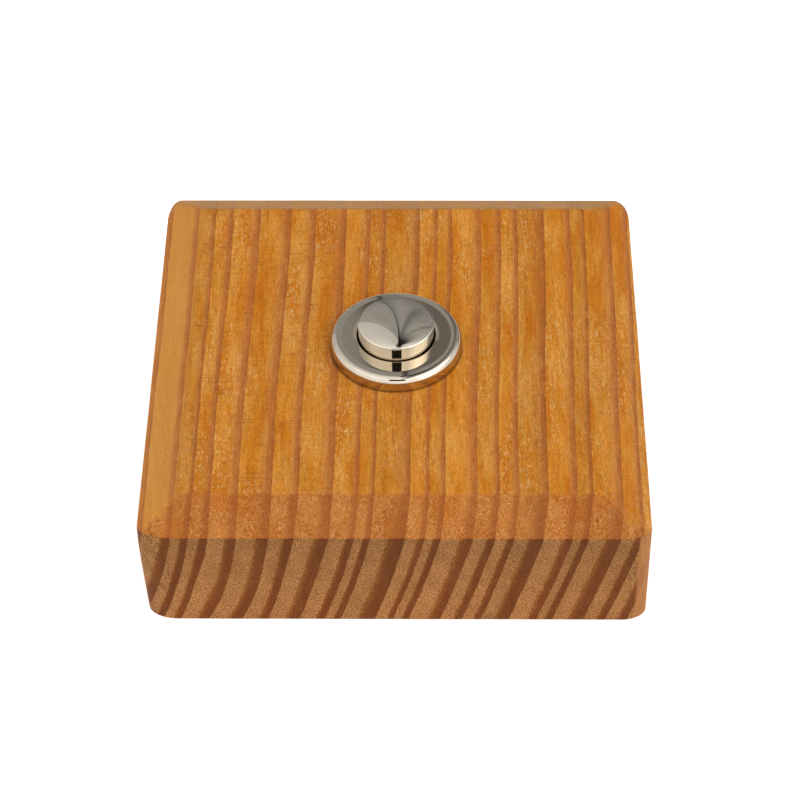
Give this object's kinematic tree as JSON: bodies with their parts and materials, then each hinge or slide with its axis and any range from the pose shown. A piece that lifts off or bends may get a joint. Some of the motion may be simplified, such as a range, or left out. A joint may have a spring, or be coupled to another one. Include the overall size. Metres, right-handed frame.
{
  "type": "wired doorbell button",
  "caption": "Square chamfered wood block with a round polished bezel and a domed spring-return push that closes a bell circuit.",
  "frame": {"origin": "middle of the block's back face, which lies against the wall", "axes": "+Z out of the wall along the push, +Y up the wall, +X to the right"},
  "size_m": [0.08, 0.08, 0.029],
  "materials": {
    "pine": "oiled, lightly sanded",
    "polished_nickel": "mirror polished nickel plate",
    "nickel_brass": "satin nickel plate",
    "zinc_steel": "zinc plate",
    "spring_steel": "drawn wire",
    "contact_brass": "satin",
    "silver_tip": "satin silver",
    "black_moulding": "moulded",
    "white_moulding": "moulded",
    "black_rubber": "moulded rubber"
  },
  "bodies": {
    "root": {"wood_block": "pine", "bezel_body": "polished_nickel", "bezel_seal": "black_rubber", "flat_washer": "zinc_steel", "lock_washer": "zinc_steel", "barrel_nut": "nickel_brass", "contact_base": "black_moulding", "base_circlip": "spring_steel", "fixed_contact_left": "contact_brass", "fixed_contact_right": "contact_brass", "contact_tip_left": "silver_tip", "contact_tip_right": "silver_tip", "wire_clamp_left": "zinc_steel", "wire_clamp_right": "zinc_steel", "terminal_screw_left": "contact_brass", "terminal_screw_right": "contact_brass", "return_spring": "spring_steel"},
    "push": {"push_cap": "polished_nickel", "plunger_stem": "white_moulding", "contact_bridge": "contact_brass", "bridge_clip": "spring_steel"}
  },
  "joints": [
    {"name": "push_travel", "type": "slide", "parent": "root", "child": "push", "axis": [0, 0, -1], "range_m": [0, 0.0015], "stiffness_N_per_m": 800, "springref_m": -0.0015, "deforming": ["return_spring"]}
  ]
}
